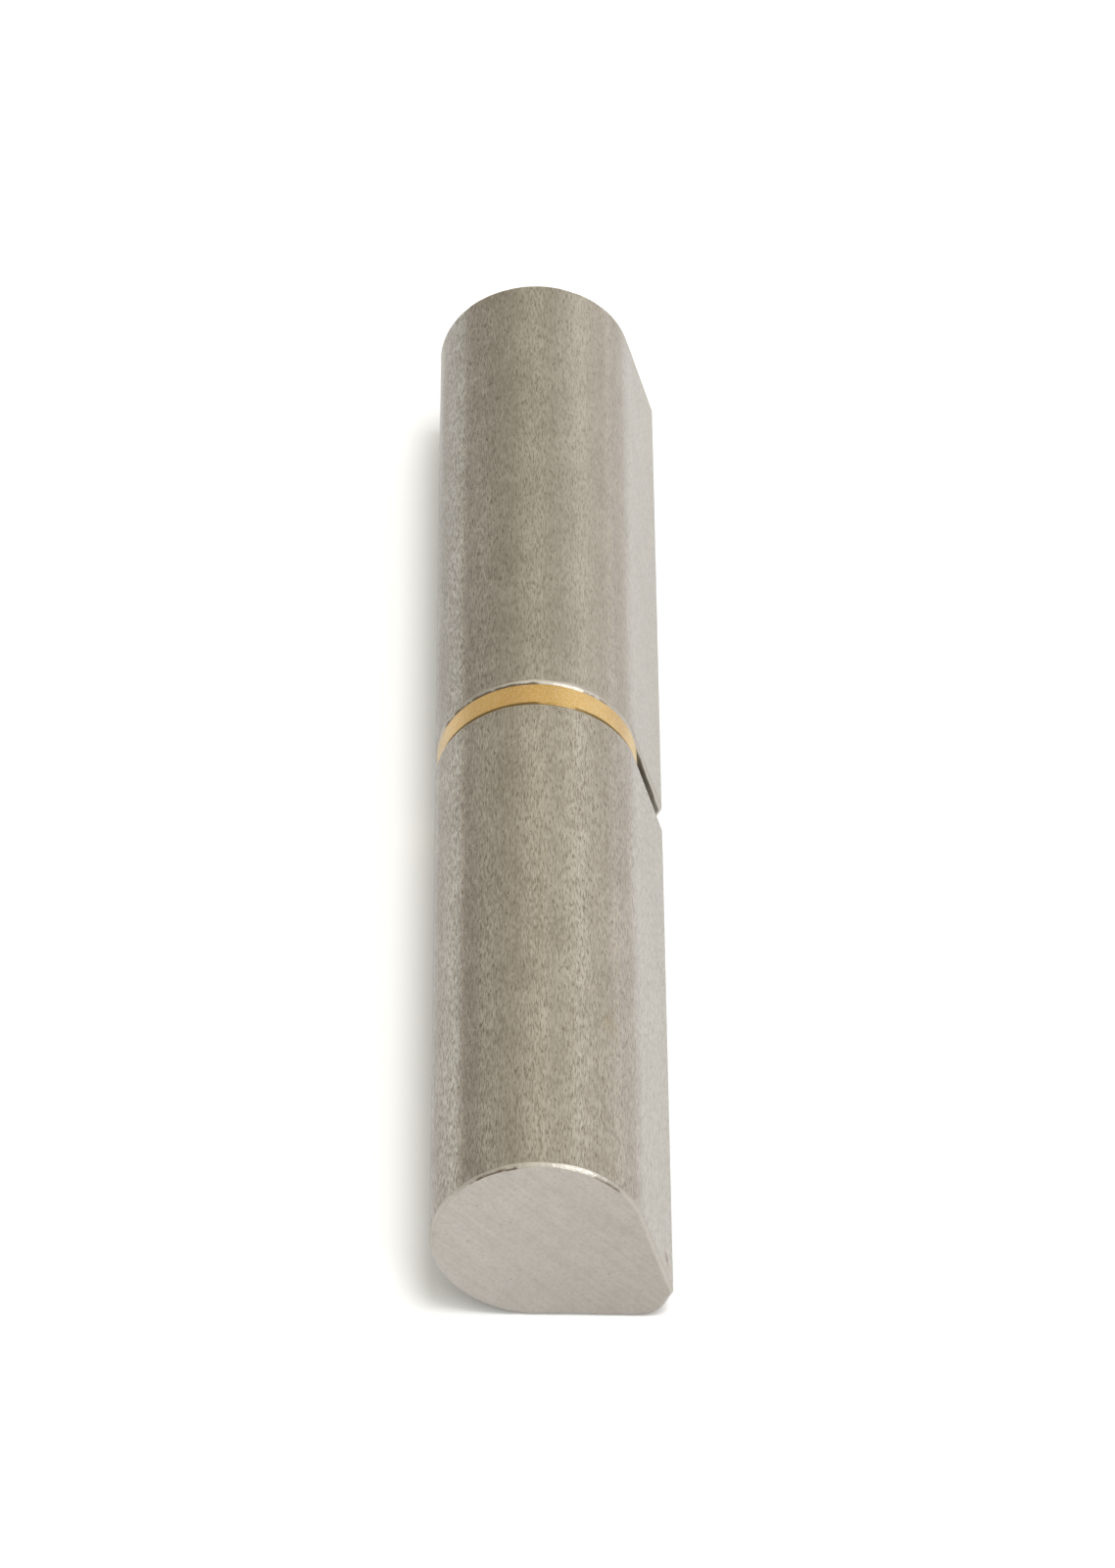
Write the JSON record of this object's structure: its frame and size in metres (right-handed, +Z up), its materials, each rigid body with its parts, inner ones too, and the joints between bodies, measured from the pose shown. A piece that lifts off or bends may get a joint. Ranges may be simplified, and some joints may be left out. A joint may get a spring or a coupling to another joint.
{
  "type": "weld-on hinge",
  "caption": "Drop-shaped steel weld-on hinge: plain leaves turn on a hidden pin over a brass thrust washer, and the upper leaf lifts off.",
  "frame": {"origin": "on the table, under the middle of the hinge's outline, as it lies on one flank", "axes": "+Y along the pin's axis from the leaf that holds the pin to the leaf that lifts off, +Z up from the table, +X towards the noses"},
  "size_m": [0.018, 0.1024, 0.016],
  "materials": {
    "drawn_steel": "raw drawn, faintly pitted, lightly oiled",
    "pin_steel": "turned, bright",
    "washer_brass": "turned, satin"
  },
  "bodies": {
    "pin_leaf": {"lower_leaf": "drawn_steel", "hinge_pin": "pin_steel"},
    "washer": {"thrust_washer": "washer_brass"},
    "turning_leaf": {"upper_leaf": "drawn_steel"}
  },
  "joints": [
    {"name": "leaf_swing", "type": "hinge", "parent": "pin_leaf", "child": "washer", "pos_m": [-0.00102, 0, 0.008], "axis": [0, 1, 0], "continuous": true},
    {"name": "lift_off", "type": "slide", "parent": "washer", "child": "turning_leaf", "axis": [0, 1, 0], "range_m": [0, 0.036]}
  ]
}
